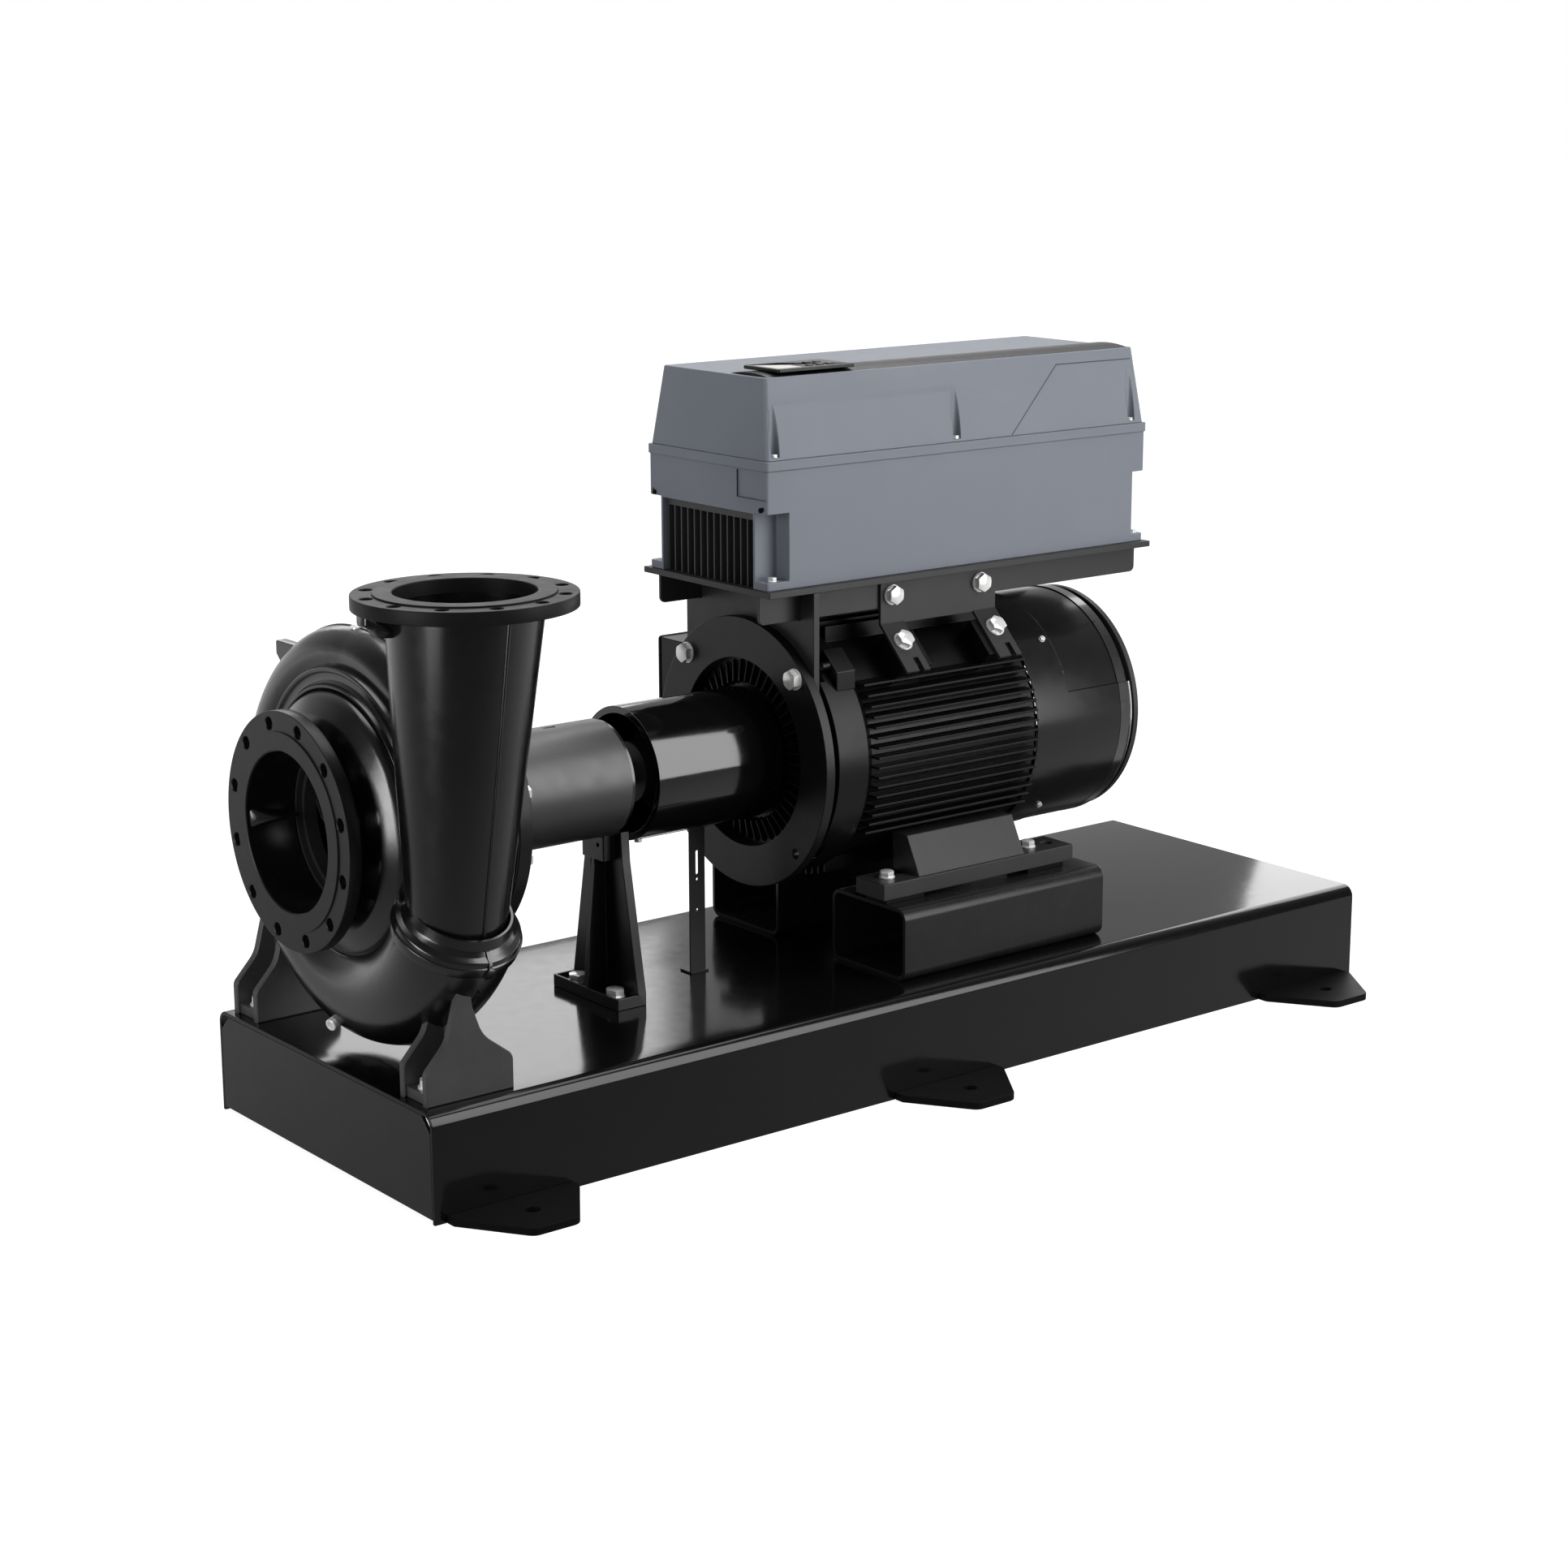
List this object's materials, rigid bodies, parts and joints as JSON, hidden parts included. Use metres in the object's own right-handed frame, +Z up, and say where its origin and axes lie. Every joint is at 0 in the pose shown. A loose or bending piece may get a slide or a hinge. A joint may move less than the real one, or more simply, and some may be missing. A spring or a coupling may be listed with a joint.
{
  "type": "centrifugal pump",
  "caption": "End-suction centrifugal pump on a steel base, driven through a guarded spacer coupling by a finned motor that carries its frequency drive on top.",
  "frame": {"origin": "on the floor below the middle of the overall box, to within 6 mm across; the shaft axis runs at Y = 0 and Z = 0.648 m", "axes": "+X from the suction flange towards the motor's fan cover, +Z up, discharge flange on the -Y side"},
  "size_m": [2.4754, 1.0945, 1.4294],
  "materials": {
    "cast_paint": "satin black paint on cast iron",
    "sheet_paint": "glossy black paint on bent steel",
    "motor_paint": "satin black paint",
    "plated_steel": "bright zinc plated",
    "bare_sheet": "plated sheet",
    "box_paint": "satin black paint",
    "machined_steel": "turned and ground",
    "core_steel": "varnished laminations",
    "cast_iron": "as cast, turned where it fits",
    "gasket": "matt",
    "coupling_steel": "phosphated steel",
    "fan_plastic": "moulded",
    "black_aluminium": "black anodised",
    "drive_plastic": "fine textured blue-grey",
    "band_plastic": "smooth grey",
    "panel_plastic": "black",
    "screen": "pale, switched off",
    "key_rubber": "soft grey"
  },
  "bodies": {
    "pump_set": {"base_frame": "sheet_paint", "base_plates": "sheet_paint", "foundation_lugs": "sheet_paint", "base_bolts": "plated_steel", "volute_casing": "cast_paint", "casing_plugs": "plated_steel", "wear_ring": "cast_iron", "cover_gasket": "gasket", "casing_cover": "cast_paint", "cover_studs": "plated_steel", "bearing_bracket": "cast_paint", "bearing_caps": "cast_paint", "pump_outer_rings": "machined_steel", "seal_seat": "machined_steel", "support_stand": "sheet_paint", "coupling_guard": "motor_paint", "guard_stay": "bare_sheet", "motor_supports": "sheet_paint", "packing_plates": "sheet_paint", "motor_feet": "motor_paint", "motor_bolts": "plated_steel", "motor_flange": "motor_paint", "drive_end_shield": "motor_paint", "motor_frame": "motor_paint", "stator_core": "core_steel", "rear_shield": "motor_paint", "fan_cover": "motor_paint", "terminal_box": "box_paint", "grease_block": "motor_paint", "motor_outer_rings": "machined_steel", "yoke_plate": "sheet_paint", "bracket_bolts": "plated_steel", "drive_plate": "sheet_paint", "side_brackets": "sheet_paint", "heat_sink": "black_aluminium", "drive_housing": "drive_plastic", "drive_lid": "drive_plastic", "top_band": "band_plastic", "drive_screws": "plated_steel", "control_panel": "panel_plastic", "display": "screen"},
    "pump_rotor": {"pump_shaft": "machined_steel", "impeller": "cast_iron", "impeller_nut": "machined_steel", "seal_ring": "machined_steel", "pump_inner_rings": "machined_steel", "pump_coupling_hub": "coupling_steel", "coupling_spacer": "coupling_steel", "flexible_ring": "gasket"},
    "motor_rotor": {"motor_shaft": "machined_steel", "rotor_core": "core_steel", "motor_fan": "fan_plastic", "motor_inner_rings": "machined_steel", "motor_coupling_hub": "coupling_steel"},
    "key_menu_cap": {"key_menu": "key_rubber"},
    "key_back_cap": {"key_back": "key_rubber"},
    "key_up_cap": {"key_up": "key_rubber"},
    "key_down_cap": {"key_down": "key_rubber"},
    "key_stop_cap": {"key_stop": "key_rubber"},
    "key_run_cap": {"key_run": "key_rubber"}
  },
  "joints": [
    {"name": "motor_spin", "type": "hinge", "parent": "pump_set", "child": "motor_rotor", "pos_m": [0.18775, 0, 0.648], "axis": [1, 0, 0], "continuous": true},
    {"name": "pump_spin", "type": "hinge", "parent": "pump_set", "child": "pump_rotor", "pos_m": [-0.71225, 0, 0.648], "axis": [1, 0, 0], "continuous": true},
    {"name": "key_menu_press", "type": "slide", "parent": "pump_set", "child": "key_menu_cap", "axis": [0, 0, -1], "range_m": [0, 0.0015], "stiffness_N_per_m": 300},
    {"name": "key_back_press", "type": "slide", "parent": "pump_set", "child": "key_back_cap", "axis": [0, 0, -1], "range_m": [0, 0.0015], "stiffness_N_per_m": 300},
    {"name": "key_up_press", "type": "slide", "parent": "pump_set", "child": "key_up_cap", "axis": [0, 0, -1], "range_m": [0, 0.0015], "stiffness_N_per_m": 300},
    {"name": "key_down_press", "type": "slide", "parent": "pump_set", "child": "key_down_cap", "axis": [0, 0, -1], "range_m": [0, 0.0015], "stiffness_N_per_m": 300},
    {"name": "key_stop_press", "type": "slide", "parent": "pump_set", "child": "key_stop_cap", "axis": [0, 0, -1], "range_m": [0, 0.0015], "stiffness_N_per_m": 300},
    {"name": "key_run_press", "type": "slide", "parent": "pump_set", "child": "key_run_cap", "axis": [0, 0, -1], "range_m": [0, 0.0015], "stiffness_N_per_m": 300}
  ],
  "couplings": [
    {"joint": "pump_spin", "follows": "motor_spin", "ratio": 1}
  ]
}
